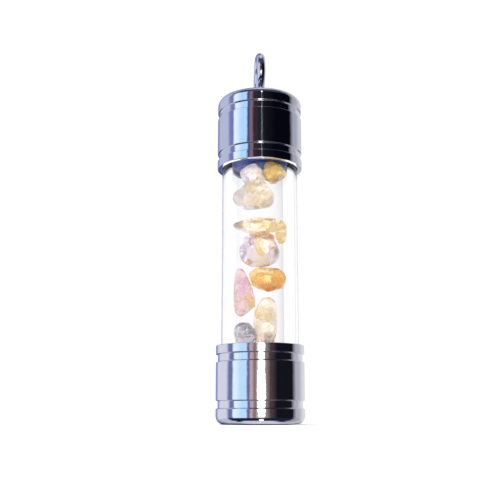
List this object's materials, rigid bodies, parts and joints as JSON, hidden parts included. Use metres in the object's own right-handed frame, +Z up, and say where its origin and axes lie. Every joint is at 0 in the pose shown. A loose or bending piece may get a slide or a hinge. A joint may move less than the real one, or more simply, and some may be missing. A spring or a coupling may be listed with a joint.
{
  "type": "sample vial",
  "caption": "Slim glass vial with turned chrome screw cap, swivelling hanging eye and weighted foot, holding polished quartz chips.",
  "frame": {"origin": "centre of the bottom cap's flat base face", "axes": "+Z up along the vial towards the hanging eye; the eye's ring lies nearly in the YZ plane"},
  "size_m": [0.0136, 0.0136, 0.0602],
  "materials": {
    "cap_chrome": "mirror polished plating",
    "eye_chrome": "mirror polished plating",
    "plug_plastic": "polished moulding",
    "fastener_brass": "bright",
    "vial_glass": "clear",
    "pad_cork": "matte felt",
    "adhesive": "clear cured adhesive",
    "gasket_rubber": "matte",
    "quartz_1": "tumbled, translucent",
    "quartz_2": "tumbled, translucent",
    "quartz_3": "tumbled, translucent",
    "quartz_4": "tumbled, translucent",
    "quartz_5": "tumbled, translucent",
    "quartz_6": "tumbled, translucent",
    "quartz_7": "tumbled, translucent",
    "quartz_8": "tumbled, translucent",
    "quartz_9": "tumbled, translucent",
    "quartz_10": "tumbled, translucent"
  },
  "bodies": {
    "vial": {"bottom_cap": "cap_chrome", "base_pad": "pad_cork", "bottom_bond": "adhesive", "glass_vial": "vial_glass", "neck_bushing": "plug_plastic", "bushing_bond": "adhesive", "stone_1": "quartz_1", "stone_2": "quartz_2", "stone_3": "quartz_3", "stone_4": "quartz_4", "stone_5": "quartz_5", "stone_6": "quartz_6", "stone_7": "quartz_7", "stone_8": "quartz_8", "stone_9": "quartz_9", "stone_10": "quartz_10"},
    "seal": {"cap_gasket": "gasket_rubber"},
    "cap": {"top_cap": "cap_chrome", "cap_plug": "plug_plastic"},
    "eye": {"hanging_eye": "eye_chrome", "eye_washer": "fastener_brass", "eye_nut": "fastener_brass"}
  },
  "joints": [
    {"name": "cap_lift", "type": "slide", "parent": "vial", "child": "seal", "axis": [0, 0, 1], "range_m": [0, 0.006]},
    {"name": "cap_turn", "type": "hinge", "parent": "seal", "child": "cap", "pos_m": [0, 0, 0.0478], "axis": [0, 0, 1], "range_deg": [0, 2160]},
    {"name": "eye_swivel", "type": "hinge", "parent": "cap", "child": "eye", "pos_m": [0, 0, 0.052], "axis": [0, 0, 1], "continuous": true}
  ],
  "couplings": [
    {"joint": "cap_lift", "follows": "cap_turn", "m_per_rad": 0.00015915}
  ]
}
